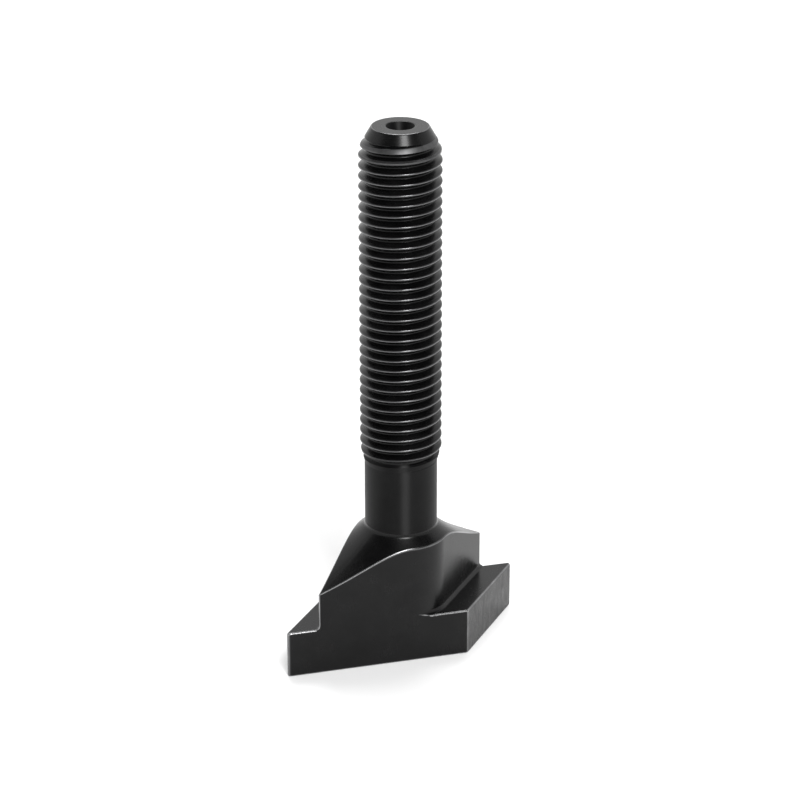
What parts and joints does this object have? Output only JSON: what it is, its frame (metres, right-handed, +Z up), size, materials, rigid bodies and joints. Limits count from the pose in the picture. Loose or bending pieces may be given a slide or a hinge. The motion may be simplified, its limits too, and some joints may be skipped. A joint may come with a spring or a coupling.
{
  "type": "t slot bolt",
  "caption": "T-slot bolt with a rhombic drop-in head, rounded turning corners, plain shank and long threaded end.",
  "frame": {"origin": "centre of the base of the head, on the bolt's axis", "axes": "+Z up the bolt towards the threaded end, +Y along the slot that the head turns into, +X across it"},
  "size_m": [0.028, 0.0444, 0.1042],
  "materials": {
    "black_oxide_steel": "satin, black oxide"
  },
  "bodies": {
    "root": {"t_slot_bolt": "black_oxide_steel"}
  },
  "joints": []
}
